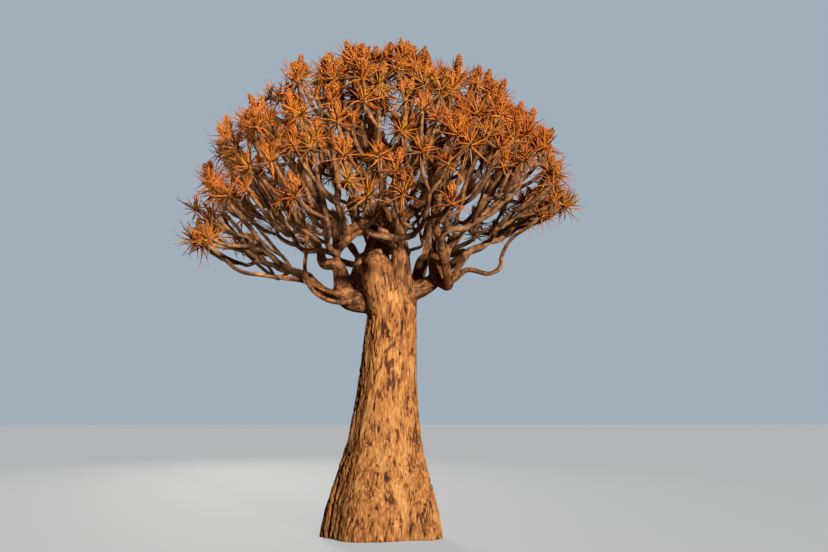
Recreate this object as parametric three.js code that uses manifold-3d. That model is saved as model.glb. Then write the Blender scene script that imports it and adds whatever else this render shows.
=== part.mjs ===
// A kokerboom, or quiver tree: a thick tapering trunk that splits into boughs, under a domed crown of
// forking twigs. Each twig ends in a rosette of narrow leaves, and most rosettes carry a flower head.
// Millimetres, +Z up. The origin is the middle of the flat cut under the trunk, at ground level.
// Azimuths run anticlockwise from +X seen from above and elevations up from the level, in degrees.
import * as THREE from "three";
import { mergeVertices } from "three/addons/utils/BufferGeometryUtils.js";
import Module from "manifold-3d";

const wasm = await Module();
wasm.setup();

// Whole tree
const TREE_HEIGHT = 6100;
const CROWN_WIDTH = 5150;
const CROWN_WIDEST_AT = 3750;
const FORK = new THREE.Vector3(110, 0, 2900); // the point that the boughs spread from
const CLEARANCE = 0.3; // between two pieces that meet
const UP = new THREE.Vector3(0, 0, 1);

// Trunk
const TRUNK_BASE_RADIUS = 440; // of the column, without the root flare
const TRUNK_NARROWS_TO = 300; // at the fork
const FLARE_RADIUS = 240; // what the root flare adds at the ground
const FLARE_HEIGHT = 950;
const FLARE_FALL = 1.9;
const TRUNK_TOP = 3210;
const TRUNK_DOME = 230; // height over which the top rounds off between the boughs
const TRUNK_LEAN = 150; // how far the top stands to the right of the foot
const TRUNK_SIDES = 16;
const TRUNK_RINGS = 11;
const BUTTRESSES = [
  { lobes: 3, depth: 0.1, turn: 215 },
  { lobes: 5, depth: 0.06, turn: 40 },
  { lobes: 8, depth: 0.03, turn: 10 },
];

// The rounded stump of a lost leader, on the front left of the fork
const STUMP = {
  points: [
    [20, -90, 2500],
    [-45, -150, 3000],
    [-90, -172, 3240],
    [-130, -180, 3370],
    [-145, -183, 3425],
  ],
  radii: [170, 212, 198, 145, 75],
};

// Rings of foliage round the crown, from the rim to the top: where each ends, the rosettes that a
// mass of it carries in life, and how high in its space a mass's bough comes in, from 0 to 1
const RIM_ELEVATION = 21; // each sector has its own, and the edges of the rings above follow it
const RINGS = {
  low: { to: 34, follows: 0.6, rosettes: 9, boughUp: 0.25 },
  middle: { to: 49, follows: 0.3, rosettes: 11, boughUp: 0.4 },
  high: { to: 65, follows: 0, rosettes: 18, boughUp: 0.5 },
  top: { to: 90, follows: 0, rosettes: 22, boughUp: 0.5 },
};

// Limbs and twigs hang below the straight line from the fork, most of all the low ones
const SAG = 400;
const SAG_PEAK = 1.6; // above 1 the deepest place lies nearer to the rim than to the trunk
const SAG_HEIGHT = 1700; // above the fork, where the hanging ends

// Boughs: one arm for each sector of the crown, which gives off a limb at each fork. The forks are the
// arm's end, and where the limbs to the low, the high and the middle ring start.
const SECTOR_WIDTH = 72;
const FORKS = [
  { elevation: 33, share: 0.17 },
  { elevation: 24, share: 0.27 },
  { elevation: 46, share: 0.25 },
  { elevation: 40, share: 0.31 },
];
const ARCH_FORKS = [
  { azimuth: 285, elevation: 66, share: 0.24 },
  { azimuth: 236, elevation: 50, share: 0.33 },
  { azimuth: 262, elevation: 66, share: 0.33 },
  { azimuth: 256, elevation: 56, share: 0.36 },
];
const LEFT_FORKS = [
  { elevation: 1, share: 0.22 },
  { elevation: 8, share: 0.3 },
  { elevation: 32, share: 0.27 },
  { elevation: 30, share: 0.33 },
];
const RIGHT_FORKS = [
  { azimuth: 345, elevation: 22, share: 0.22 },
  { azimuth: 338, elevation: 13, share: 0.3 },
  { elevation: 36, share: 0.28 },
  { elevation: 32, share: 0.33 },
];
const REAR_LEFT_FORKS = [
  { azimuth: 145, elevation: 27, share: 0.2 },
  { azimuth: 142, elevation: 24, share: 0.27 },
  { azimuth: 132, elevation: 46, share: 0.25 },
  { azimuth: 126, elevation: 40, share: 0.31 },
];
const SECTORS = [
  { name: "left", azimuth: 180, rim: 14.5, root: [10, -20, 2850], arm: [420, 180], forks: LEFT_FORKS },
  {
    name: "front",
    azimuth: 252,
    rim: 19,
    root: [225, -130, 2820],
    knee: [215, -200, 3300],
    arm: [330, 140, 70],
    forks: ARCH_FORKS,
    lowBoughUp: 0.9,
  },
  { name: "right", azimuth: 324, rim: 29, root: [170, -60, 2870], forks: RIGHT_FORKS },
  { name: "rear_right", azimuth: 36, rim: 29, root: [210, 110, 2780], forks: FORKS, oneLow: true },
  {
    name: "rear_left",
    azimuth: 108,
    rim: 26,
    root: [30, 120, 2780],
    arm: [330, 120],
    forks: REAR_LEFT_FORKS,
    oneLow: true,
  },
];
const ARM = [200, 60]; // rosettes that a sector's arm is thick for, where it leaves the trunk and ends
const TOP_ROOT = [60, 60, 2850];
const TOP_ARM = [330, 120];
const TOP_MASSES = 3;
const TOP_FORKS = [
  { azimuth: 160, elevation: 76, share: 0.2 },
  { azimuth: 330, elevation: 82, share: 0.31 },
];
const BOUGH_END = 0.4; // share of the way from the fork to the crown's surface
const BOUGH_SIDES = 5;
const STEPS_PER_FORK = 2;
const ROOT_NARROWS = 0.6; // of a limb where it starts inside another, not of an arm

// Thin limbs that swoop out below the crown and turn up, each to a rosette of its own
const SPRIGS = [
  {
    name: "front_sprig",
    points: [
      [-330, -60, 2870],
      [-500, -190, 2800],
      [-720, -380, 2830],
      [-880, -500, 2960],
      [-935, -560, 3130],
      [-925, -590, 3360],
    ],
  },
  {
    name: "left_sprig",
    points: [
      [-430, -40, 2900],
      [-620, -180, 2925],
      [-965, -380, 3040],
      [-1400, -560, 3075],
      [-1700, -660, 3120],
      [-1960, -720, 3330],
    ],
  },
  {
    name: "right_sprig",
    points: [
      [640, -150, 3090],
      [850, -260, 3070],
      [1024, -360, 3190],
      [1290, -460, 3130],
      [1410, -500, 3200],
      [1430, -520, 3330],
      [1530, -580, 3520],
      [1763, -680, 3690],
    ],
  },
];
const SPRIG_RADII = [44, 36, 32, 30, 28, 26];
const SPRIG_STEM = 210;
const SPRIG_SPACE = 300; // round the rosette of a sprig, which no other mass's leaves come into

// Twigs
const TWIG_RADIUS = 23; // of a twig that carries one rosette
const THICKENING = 0.34; // a limb's radius grows with the number of its rosettes to this power
const FORK_SHARES = [BOUGH_END, 0.48, 0.58, 0.68];
const SHARE_JITTER = 0.04;
const CELL_JITTER = 0.14;
const FORK_SPREAD = 0.36;
const FORK_DROOP = 0.16;
const LIFT = 0.3; // how far a limb turns up by its end
const HANDLE = 0.38; // length of a curve's handles, as a share of the curve
const STEM_SIDES = 3;
const TWIG_SIDES = 3;
const LAST_STEPS = 2; // in the last length of a twig
const LAST_LEVEL = 2; // forks in a row within a mass, and one more in a mass as wide as its sector
const SEED = 7;

// Rosettes
const TIP_INSET = 350; // from the end of a twig to the crown's surface
const CORE_RADIUS = 40; // of the swollen end of a twig, which the leaves of a rosette stand on
const CORE_HEIGHT = 22; // from a rosette's middle to the end of its twig
const LEAVES = 5;
const LEAF_LENGTH = 380;
const LEAF_WIDTH = 105;
const LEAF_THICKNESS = 34;
const LEAF_ROOT = 14; // from a rosette's middle to the point of a leaf's root, inside the knob
const LEAF_WIDEST_AT = 0.32;
const LEAF_SPREAD = [84, 58]; // degrees from the rosette's axis, turn about
const TURNS_UP = [1, 0.75, 0.5]; // shares of that spread that are tried until the leaf has room
const ROSETTE_LIFT = 0.5;
const HEAD_LENGTH = 320;
const HEAD_RADIUS = 70;
const HEAD_WIDEST_AT = [0.22, 0.62];
const HEAD_SHARE = 0.65; // of the rosettes carry a flower head
const SPACE_MARGIN = 12; // between a mass and the edge of its space
const BULGE = 20; // how far a straight leaf can bulge through a curved edge that its ends are clear of

const bark = new THREE.MeshStandardMaterial({ color: 0xc98a4e, roughness: 0.9, metalness: 0 });
const limbBark = new THREE.MeshStandardMaterial({ color: 0x97694a, roughness: 0.85, metalness: 0 });
const foliage = new THREE.MeshStandardMaterial({ color: 0xc06a22, roughness: 0.6, metalness: 0 });

// Numbers in a fixed order for each seed, between 0 and 1
function seeded(seed) {
  const modulus = 2147483647;
  let state = (seed % (modulus - 1)) + 1;
  const next = () => {
    state = (state * 48271) % modulus;
    return state / modulus;
  };
  for (let i = 0; i < 3; i += 1) next();
  return next;
}

const lerp = THREE.MathUtils.lerp;
const radians = THREE.MathUtils.degToRad;
const vector = (point) => new THREE.Vector3(...point);

function direction(azimuth, elevation) {
  const level = Math.cos(radians(elevation));
  const x = Math.cos(radians(azimuth)) * level;
  const y = Math.sin(radians(azimuth)) * level;
  return new THREE.Vector3(x, y, Math.sin(radians(elevation)));
}

// How far the crown's surface, an ellipsoid, lies from the fork along a direction
function crownReach(way) {
  const squash = new THREE.Vector3(2 / CROWN_WIDTH, 2 / CROWN_WIDTH, 1 / (TREE_HEIGHT - CROWN_WIDEST_AT));
  const start = new THREE.Vector3(FORK.x, FORK.y, FORK.z - CROWN_WIDEST_AT).multiply(squash);
  const along = way.clone().multiply(squash);
  const a = along.lengthSq();
  const b = start.dot(along);
  return (Math.sqrt(b * b - a * (start.lengthSq() - 1)) - b) / a;
}

// How far a point hangs, by its distance out from the fork, before the height lessens it
function hangAt(x, y) {
  const out = Math.min(1, Math.hypot(x - FORK.x, y - FORK.y) / (CROWN_WIDTH / 2));
  return SAG * Math.sin(Math.PI * out ** SAG_PEAK) ** 2;
}

// The height of a point once it hangs, and the height that it had before
function hungHeight({ x, y, z }) {
  return z - hangAt(x, y) * THREE.MathUtils.clamp(1 - (z - FORK.z) / SAG_HEIGHT, 0, 1);
}

function unhungHeight(x, y, z) {
  const [hang, up] = [hangAt(x, y), z - FORK.z];
  if (up >= SAG_HEIGHT) return z;
  return FORK.z + (up + hang < 0 ? up + hang : (up + hang) / (1 + hang / SAG_HEIGHT));
}

// A point at a share of the way from the fork to the crown's surface
function crownPoint(azimuth, elevation, share) {
  const way = direction(azimuth, elevation);
  const point = FORK.clone().addScaledVector(way, crownReach(way) * share);
  return point.setZ(hungHeight(point));
}

const limbRadius = (rosettes) => TWIG_RADIUS * rosettes ** THICKENING;

// Solids

function solidOf(geometry) {
  geometry.deleteAttribute("normal");
  geometry.deleteAttribute("uv");
  const merged = mergeVertices(geometry, 1e-3);
  const vertProperties = merged.attributes.position.array;
  const triVerts = new Uint32Array(merged.index.array);
  return new wasm.Manifold(new wasm.Mesh({ numProp: 3, vertProperties, triVerts }));
}

function geometryOf(solid) {
  const made = solid.getMesh();
  const geometry = new THREE.BufferGeometry();
  geometry.setAttribute("position", new THREE.BufferAttribute(new Float32Array(made.vertProperties), 3));
  geometry.setIndex(new THREE.BufferAttribute(new Uint32Array(made.triVerts), 1));
  return geometry;
}

// The largest body of a solid, without scraps, and with any sealed hollow filled
function largestBody(solid) {
  return solid.decompose().reduce((best, body) => (body.volume() > best.volume() ? body : best));
}

const joined = (solids) => largestBody(solids.reduce((all, solid) => all.add(solid)));

function boxesMeet(a, b) {
  const [p, q] = [a.boundingBox(), b.boundingBox()];
  return [0, 1, 2].every((i) => p.min[i] < q.max[i] && q.min[i] < p.max[i]);
}

const touches = (solid, others) =>
  others.some((other) => boxesMeet(solid, other) && !solid.intersect(other).isEmpty());

// Cross-sections along a curve, whose radii are spaced evenly along it
function sections(curve, radii, steps) {
  return Array.from({ length: steps + 1 }, (_, step) => {
    const place = (step / steps) * (radii.length - 1);
    const from = Math.min(Math.floor(place), radii.length - 2);
    const radius = lerp(radii[from], radii[from + 1], place - from);
    return { centre: curve.getPoint(step / steps), tangent: curve.getTangent(step / steps), radius };
  });
}

// A tube through round cross-sections, with flat ends
function tube(rounds, sides, grow = 0) {
  const geometry = new THREE.CylinderGeometry(1, 1, 1, sides, rounds.length - 1);
  const last = rounds.length - 1;
  let normal = new THREE.Vector3(1, 0, 0);
  if (Math.abs(rounds[0].tangent.x) > 0.9) normal.set(0, 1, 0);
  const rings = rounds.map(({ centre, tangent, radius }, i) => {
    normal = normal.clone().addScaledVector(tangent, -normal.dot(tangent)).normalize();
    const end = i === 0 ? -grow : i === last ? grow : 0;
    const middleOf = centre.clone().addScaledVector(tangent, end);
    return { centre: middleOf, normal, across: normal.clone().cross(tangent), radius: radius + grow };
  });
  const position = geometry.attributes.position;
  for (let i = 0; i < position.count; i += 1) {
    const ring = rings[Math.round((position.getY(i) + 0.5) * last)];
    const point = ring.centre.clone();
    point.addScaledVector(ring.normal, position.getX(i) * ring.radius);
    point.addScaledVector(ring.across, position.getZ(i) * ring.radius);
    position.setXYZ(i, point.x, point.y, point.z);
  }
  return solidOf(geometry);
}

// Trunk

function trunkRadius(azimuth, height) {
  const column = lerp(TRUNK_BASE_RADIUS, TRUNK_NARROWS_TO, height / FORK.z);
  const flare = Math.exp(-((height / FLARE_HEIGHT) ** FLARE_FALL));
  const ridges = BUTTRESSES.reduce(
    (sum, { lobes, depth, turn }) => sum + depth * Math.cos(radians(lobes * (azimuth - turn))), 0);
  const intoDome = Math.max(0, (height - TRUNK_TOP + TRUNK_DOME) / TRUNK_DOME);
  const dome = Math.sqrt(Math.max(0.04, 1 - intoDome ** 2));
  return (column + FLARE_RADIUS * flare) * (1 + ridges * (0.25 + 0.75 * flare)) * dome;
}

function trunkSolid(grow = 0) {
  const geometry = new THREE.CylinderGeometry(1, 1, 1, TRUNK_SIDES, TRUNK_RINGS);
  const position = geometry.attributes.position;
  for (let i = 0; i < position.count; i += 1) {
    const [x, share, y] = [position.getX(i), position.getY(i) + 0.5, -position.getZ(i)];
    const height = share * (TRUNK_TOP + grow);
    const azimuth = THREE.MathUtils.radToDeg(Math.atan2(y, x));
    const radius = Math.hypot(x, y) * (trunkRadius(azimuth, height) + grow);
    const lean = TRUNK_LEAN * share ** 1.5;
    const across = radius * Math.cos(radians(azimuth));
    position.setXYZ(i, lean + across, radius * Math.sin(radians(azimuth)), height);
  }
  const stumpLine = new THREE.CatmullRomCurve3(STUMP.points.map(vector));
  const stump = tube(sections(stumpLine, STUMP.radii, 8), 9, grow);
  return joined([solidOf(geometry), stump]);
}

// Spaces of the crown: a span of azimuths and a span of elevations, seen from the fork

function ringSpace(ring, azimuth, width, rim = RIM_ELEVATION) {
  const names = Object.keys(RINGS);
  const below = names.indexOf(ring) - 1;
  const edge = ({ to, follows }) => to + (rim - RIM_ELEVATION) * follows;
  const low = below < 0 ? rim : edge(RINGS[names[below]]);
  const azimuths = [azimuth - width / 2, azimuth + width / 2];
  return { azimuths, elevations: [low, edge(RINGS[ring])], open: below < 0 };
}

// The middle of a space, with equal areas of the crown above and below
function middle({ azimuths, elevations }, across = 0.5, upward = 0.5) {
  const [low, high] = elevations.map((elevation) => Math.sin(radians(elevation)));
  const elevation = THREE.MathUtils.radToDeg(Math.asin(lerp(low, high, upward)));
  return { azimuth: lerp(...azimuths, across), elevation };
}

// The two spaces that a fork parts, cut across the longer side
function parted(space, share) {
  const { azimuth, elevation } = middle(space, share, share);
  const { azimuths: [left, right], elevations: [low, high] } = space;
  if ((right - left) * Math.cos(radians(middle(space).elevation)) > high - low)
    return [{ ...space, azimuths: [left, azimuth] }, { ...space, azimuths: [azimuth, right] }];
  return [{ ...space, elevations: [low, elevation] }, { ...space, elevations: [elevation, high] }];
}

// Whether a solid keeps within a space: between two upright planes, over one cone and under another
function staysIn(solid, { azimuths, elevations, open }) {
  const points = solid.getMesh().vertProperties;
  const [left, right, low, high] = [...azimuths, ...elevations].map(radians);
  for (let i = 0; i < points.length; i += 3) {
    const [x, y] = [points[i] - FORK.x, points[i + 1] - FORK.y];
    const z = unhungHeight(points[i], points[i + 1], points[i + 2]) - FORK.z;
    const level = Math.hypot(x, y);
    const over = z * Math.cos(low) - level * Math.sin(low);
    const under = level * Math.sin(high) - z * Math.cos(high);
    if (y * Math.cos(left) - x * Math.sin(left) < SPACE_MARGIN) return false;
    if (x * Math.sin(right) - y * Math.cos(right) < SPACE_MARGIN) return false;
    if (!open && over < SPACE_MARGIN + BULGE) return false;
    if (elevations[1] < 90 && under < SPACE_MARGIN + BULGE) return false;
  }
  return true;
}

// Rosettes

// A keeled blade of six faces along +Y, with its broad side facing +Z
function leafGeometry() {
  const geometry = new THREE.SphereGeometry(1, 3, 2, Math.PI / 2);
  const position = geometry.attributes.position;
  for (let i = 0; i < position.count; i += 1) {
    const along = position.getY(i) > 0.5 ? 1 : position.getY(i) < -0.5 ? 0 : LEAF_WIDEST_AT;
    const x = (position.getX(i) * LEAF_WIDTH) / Math.sqrt(3);
    position.setXYZ(i, x, LEAF_ROOT + along * LEAF_LENGTH, (position.getZ(i) * LEAF_THICKNESS) / 1.5);
  }
  return geometry;
}

// The matrix that lays +Y along a direction and turns +Z as near as it can to another
function turned(along, facing, place) {
  const side = along.clone().cross(facing).normalize();
  const matrix = new THREE.Matrix4().makeBasis(side, along, side.clone().cross(along));
  return matrix.setPosition(place);
}

// The leaves of a rosette that have room. One that hasn't is turned up towards the axis, then left out.
function rosetteLeaves(tip, axis, random, hasRoom) {
  const side = axis.clone().cross(UP);
  if (side.length() < 0.1) side.set(1, 0, 0);
  side.normalize();
  const start = random();
  const leaves = [];
  for (let i = 0; i < LEAVES; i += 1) {
    const turn = 2 * Math.PI * (start + i / LEAVES + 0.08 * (random() - 0.5));
    const spread = radians(LEAF_SPREAD[i % 2] + 10 * (random() - 0.5));
    const outward = side.clone().applyAxisAngle(axis, turn);
    const found = TURNS_UP.map((share) => leafAt(tip, axis, outward, spread * share)).find(hasRoom);
    if (found) leaves.push(found);
  }
  return leaves;
}

function leafAt(tip, axis, outward, spread) {
  const along = axis.clone().multiplyScalar(Math.cos(spread)).addScaledVector(outward, Math.sin(spread));
  return solidOf(leafGeometry().applyMatrix4(turned(along.normalize(), axis, tip)));
}

// A dense upright head of blossom, a spindle of three sides
function flowerHead(tip, axis) {
  const heading = axis.clone().lerp(UP, 0.6).normalize();
  const geometry = new THREE.SphereGeometry(1, 3, 3);
  const position = geometry.attributes.position;
  for (let i = 0; i < position.count; i += 1) {
    const ring = Math.round((position.getY(i) + 1) * 1.5);
    const along = [0, ...HEAD_WIDEST_AT, 1][ring];
    const [x, z] = [position.getX(i) * HEAD_RADIUS, position.getZ(i) * HEAD_RADIUS];
    position.setXYZ(i, x, LEAF_ROOT + along * HEAD_LENGTH, z);
  }
  return solidOf(geometry.applyMatrix4(turned(heading, new THREE.Vector3(1, 0.1, 0), tip)));
}

// Growth of a mass

// A limb leaves its fork to its own side, a little downward when low, and turns up by its end
function limbCurve(from, heading, to, end, spread, droop) {
  const sideways = to.clone().sub(from);
  sideways.addScaledVector(heading, -sideways.dot(heading)).normalize();
  const start = heading.clone().multiplyScalar(1 - spread).addScaledVector(sideways, spread);
  start.addScaledVector(UP, -droop).normalize();
  const reach = from.distanceTo(to) * HANDLE;
  return new THREE.CubicBezierCurve3(
    from, from.clone().addScaledVector(start, reach), to.clone().addScaledVector(end, -reach), to);
}

// Twigs and tips of a mass, by forks that part its space again and again. At each fork the limb goes
// on to one side, and a new limb starts to the other.
function grow(mass, limb, from, heading, space, rosettes, level, path, found) {
  const random = seeded(SEED + mass.seed * 1009 + path * 31);
  const jitter = () => (random() - 0.5) * 2 * CELL_JITTER;
  const place = middle(space, 0.5 + jitter(), 0.5 + jitter());
  const last = level === LAST_LEVEL + (mass.wide ? 1 : 0);
  const way = direction(place.azimuth, place.elevation);
  const share = FORK_SHARES[level + 1] + SHARE_JITTER * (2 * random() - 1);
  const to = crownPoint(place.azimuth, place.elevation, last ? 1 - TIP_INSET / crownReach(way) : share);
  const end = way.clone().lerp(UP, LIFT).normalize();
  const droop = FORK_DROOP * Math.cos(radians(place.elevation)) ** 2;
  limb.curves.push(limbCurve(from, heading, to, end, level ? FORK_SPREAD : 0, level ? droop : 0));
  limb.radii.push(limbRadius(rosettes));
  if (last) {
    limb.radii.push(limbRadius(rosettes) * 0.85);
    found.tips.push({ tip: to, axis: end.clone().lerp(UP, ROSETTE_LIFT).normalize(), random });
    return found;
  }
  const fewer = Math.floor(rosettes / 2);
  const counts = [fewer, rosettes - fewer];
  parted(space, fewer / rosettes).forEach((part, i) => {
    const next = i ? limb : newLimb(found);
    grow(mass, next, to, end, part, counts[i], level + 1, 2 * path + i, found);
  });
  return found;
}

function newLimb(found) {
  found.limbs.push({ curves: [], radii: [] });
  return found.limbs.at(-1);
}

// A limb of a mass through its forks, swollen at its end
function twig({ curves, radii }, sides, rootShare = 1) {
  const rounds = curves.flatMap((curve, i) => {
    const steps = i === curves.length - 1 ? LAST_STEPS : 1;
    return sections(curve, radii.slice(i, i + 2), steps).slice(i ? 1 : 0);
  });
  rounds[0].radius *= rootShare;
  const { centre, tangent, radius } = rounds.pop();
  rounds.push({ centre: centre.clone().addScaledVector(tangent, -CORE_RADIUS), tangent, radius });
  rounds.push({ centre: centre.clone().addScaledVector(tangent, CORE_HEIGHT), tangent, radius: CORE_RADIUS });
  return tube(rounds, sides);
}

function massSolid(mass, obstacles) {
  const end = mass.limb.curve.getTangent(1);
  const start = mass.limb.curve.getPoint(1).addScaledVector(end, CLEARANCE);
  const found = { limbs: [], tips: [] };
  grow(mass, newLimb(found), start, end, mass.space, mass.rosettes, 0, 1, found);
  const kept = found.limbs.map((limb, i) => twig(limb, i ? TWIG_SIDES : STEM_SIDES, i ? ROOT_NARROWS : 1));
  const hasRoom = (piece) => staysIn(piece, mass.space) && !touches(piece, obstacles);
  found.tips.forEach(({ tip, axis, random }) => {
    kept.push(...rosetteLeaves(tip, axis, random, hasRoom));
    if (random() < HEAD_SHARE) kept.push(...[flowerHead(tip, axis)].filter(hasRoom));
  });
  return joined(kept);
}

// Boughs of one sector, each a tapering limb to the mass it carries

function sectorBoughs({ name, azimuth, rim, root, knee, arm: thick = ARM, forks, lowBoughUp, oneLow }) {
  const half = SECTOR_WIDTH / 2;
  const halves = (ring) => [-1, 1].map((side) => ringSpace(ring, azimuth + (side * half) / 2, half, rim));
  const [low, mid] = [halves("low"), halves("middle")];
  const whole = (ring) => ringSpace(ring, azimuth, SECTOR_WIDTH, rim);
  const at = (fork) => crownPoint(fork.azimuth ?? azimuth, fork.elevation, fork.share);
  const [arm, lowFork, highFork, midFork] = forks.map(at);
  const lead = [vector(root), ...(knee ? [vector(knee)] : []), arm, highFork, midFork];
  const leadRosettes = [...thick, 44, 26];
  const lowLead = { ring: "low", points: [arm, lowFork], rosettes: [44, 26] };
  const lowBoughs = oneLow
    ? [{ ...lowLead, name: `${name}_low`, space: whole("low"), wide: true }]
    : [
        { ...lowLead, name: `${name}_low_a`, space: low[0] },
        { name: `${name}_low_b`, ring: "low", space: low[1], points: [lowFork], rosettes: [20] },
      ];
  return [
    { name: `${name}_middle_a`, ring: "middle", space: mid[0], points: lead, rosettes: leadRosettes },
    { name: `${name}_middle_b`, ring: "middle", space: mid[1], points: [midFork], rosettes: [20] },
    { name: `${name}_high`, ring: "high", space: whole("high"), points: [highFork], rosettes: [30] },
    ...lowBoughs,
  ].map((bough) => ({ ...bough, points: [...bough.points, boughTip(bough, lowBoughUp)] }));
}

// The rosettes that a mass carries in life
const carriedBy = ({ ring, wide }) => RINGS[ring].rosettes * (wide ? 2 : 1);

function boughTip({ ring, space }, lowBoughUp) {
  const up = ring === "low" && lowBoughUp ? lowBoughUp : RINGS[ring].boughUp;
  const { azimuth, elevation } = middle(space, 0.5, up);
  return crownPoint(azimuth, elevation, BOUGH_END);
}

function topBoughs() {
  const width = 360 / TOP_MASSES;
  const forks = TOP_FORKS.map(({ azimuth, elevation, share }) => crownPoint(azimuth, elevation, share));
  const lead = [vector(TOP_ROOT), ...forks];
  return ["a", "b", "c"].map((letter, i) => {
    const space = ringSpace("top", 30 + i * width, width);
    const tip = boughTip({ ring: "top", space });
    const [points, rosettes] = [[lead, [...TOP_ARM, 44]], [[forks[0]], [34]], [[forks[1]], [34]]][i];
    return { name: `top_${letter}`, ring: "top", space, points: [...points, tip], rosettes };
  });
}

function limbOf(bough) {
  const { points, rosettes } = bough;
  const radii = [...rosettes, carriedBy(bough)].map(limbRadius);
  if (rosettes[0] < ARM[0]) radii[0] *= ROOT_NARROWS;
  return { curve: new THREE.CatmullRomCurve3(points, false, "centripetal"), radii };
}

// A limb as a solid, parted by the clearance from those that it grows out of
function boughSolid({ curve, radii }, sides, cutters) {
  const whole = tube(sections(curve, radii, (radii.length - 1) * STEPS_PER_FORK), sides);
  const near = cutters.filter((cutter) => boxesMeet(whole, cutter));
  return largestBody(near.reduce((rest, cutter) => rest.subtract(cutter), whole));
}

const grown = ({ curve, radii }, sides) =>
  tube(sections(curve, radii, (radii.length - 1) * STEPS_PER_FORK), sides, 2 * CLEARANCE);

// Assembly

const tree = new THREE.Group();
const limbs = new THREE.Group();
const crown = new THREE.Group();
tree.add(limbs, crown);

function addPiece(group, name, solid, material) {
  const piece = new THREE.Mesh(geometryOf(solid), material);
  piece.name = name;
  group.add(piece);
}

addPiece(limbs, "trunk", trunkSolid(), bark);
const cutters = [trunkSolid(2 * CLEARANCE)];

const boughs = [...SECTORS.flatMap(sectorBoughs), ...topBoughs()];
const sprigs = SPRIGS.map(({ name, points }) => {
  return { name, limb: { curve: new THREE.CatmullRomCurve3(points.map(vector)), radii: SPRIG_RADII } };
});
for (const bough of boughs) bough.limb = limbOf(bough);
for (const { name, limb } of [...boughs, ...sprigs]) {
  addPiece(limbs, `bough_${name}`, boughSolid(limb, BOUGH_SIDES, cutters), limbBark);
  cutters.push(grown(limb, BOUGH_SIDES));
}

// Where the stem of a sprig's rosette starts and ends, and the ball of space that its leaves have
for (const sprig of sprigs) {
  sprig.heading = sprig.limb.curve.getTangent(1);
  sprig.start = sprig.limb.curve.getPoint(1).addScaledVector(sprig.heading, CLEARANCE);
  sprig.tip = sprig.start.clone().addScaledVector(sprig.heading, SPRIG_STEM);
  const ball = new THREE.IcosahedronGeometry(SPRIG_SPACE + LEAF_LENGTH / 2, 1);
  sprig.space = solidOf(ball.translate(...sprig.tip));
}

const obstacles = [...cutters, ...sprigs.map(({ space }) => space)];
const masses = boughs.map((bough, seed) => {
  const { limb, space, wide } = bough;
  return massSolid({ seed, limb, space, wide, rosettes: carriedBy(bough) }, obstacles);
});

function sprigSolid({ start, tip, heading }) {
  const limb = { curves: [new THREE.LineCurve3(start, tip)], radii: [SPRIG_RADII.at(-1), TWIG_RADIUS] };
  const stem = twig(limb, STEM_SIDES);
  const hasRoom = (leaf) => !touches(leaf, [...cutters, ...masses]);
  return joined([stem, ...rosetteLeaves(tip, heading, seeded(SEED), hasRoom)]);
}

sprigs.forEach((sprig) => addPiece(crown, `foliage_${sprig.name}`, sprigSolid(sprig), foliage));
masses.forEach((solid, i) => addPiece(crown, `foliage_${boughs[i].name}`, solid, foliage));

export default tree;
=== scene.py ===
import math

import bmesh
import bpy
import numpy as np
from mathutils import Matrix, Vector, kdtree


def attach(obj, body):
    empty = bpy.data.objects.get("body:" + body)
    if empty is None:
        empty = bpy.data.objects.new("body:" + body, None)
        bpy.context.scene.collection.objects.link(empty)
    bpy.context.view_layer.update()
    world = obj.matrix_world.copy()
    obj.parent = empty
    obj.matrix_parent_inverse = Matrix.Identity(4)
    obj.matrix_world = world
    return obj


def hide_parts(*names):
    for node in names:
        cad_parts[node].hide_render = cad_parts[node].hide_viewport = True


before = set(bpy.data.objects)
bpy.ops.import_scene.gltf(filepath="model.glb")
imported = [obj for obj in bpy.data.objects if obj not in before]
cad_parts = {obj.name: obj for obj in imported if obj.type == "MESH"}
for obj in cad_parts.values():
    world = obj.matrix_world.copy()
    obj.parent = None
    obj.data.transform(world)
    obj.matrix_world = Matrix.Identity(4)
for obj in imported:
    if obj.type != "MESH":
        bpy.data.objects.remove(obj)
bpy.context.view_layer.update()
scene = bpy.context.scene

MM = 0.001

# Whole tree, as in the source
TREE_HEIGHT = 6100
CROWN_WIDTH = 5150
CROWN_WIDEST_AT = 3750
FORK = np.array([110.0, 0.0, 2900.0])
UP = np.array([0.0, 0.0, 1.0])

# Trunk, as in the source
TRUNK_BASE_RADIUS = 440
TRUNK_NARROWS_TO = 300
FLARE_RADIUS = 240
FLARE_HEIGHT = 950
FLARE_FALL = 1.9
TRUNK_TOP = 3210
TRUNK_DOME = 230
TRUNK_LEAN = 150
BUTTRESSES = [(3, 0.1, 215), (5, 0.06, 40), (8, 0.03, 10)]  # lobes, depth, turn
RIDGES_ALOFT = 0.25  # of their depth at the foot
STUMP_POINTS = [
    (20, -90, 2500), (-45, -150, 3000), (-90, -172, 3240), (-130, -180, 3370), (-145, -183, 3425),
]
STUMP_RADII = [170, 212, 198, 145, 75]

# Rings of foliage, as in the source: the elevation at which each ends, how far that follows a sector's
# rim, its rosettes, and how high its boughs come in
RIM_ELEVATION = 21
RINGS = {
    "low": {"to": 34, "follows": 0.6, "rosettes": 9, "up": 0.25},
    "middle": {"to": 49, "follows": 0.3, "rosettes": 11, "up": 0.4},
    "high": {"to": 65, "follows": 0, "rosettes": 18, "up": 0.5},
    "top": {"to": 90, "follows": 0, "rosettes": 22, "up": 0.5},
}
SAG = 400
SAG_PEAK = 1.6
SAG_HEIGHT = 1700

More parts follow.
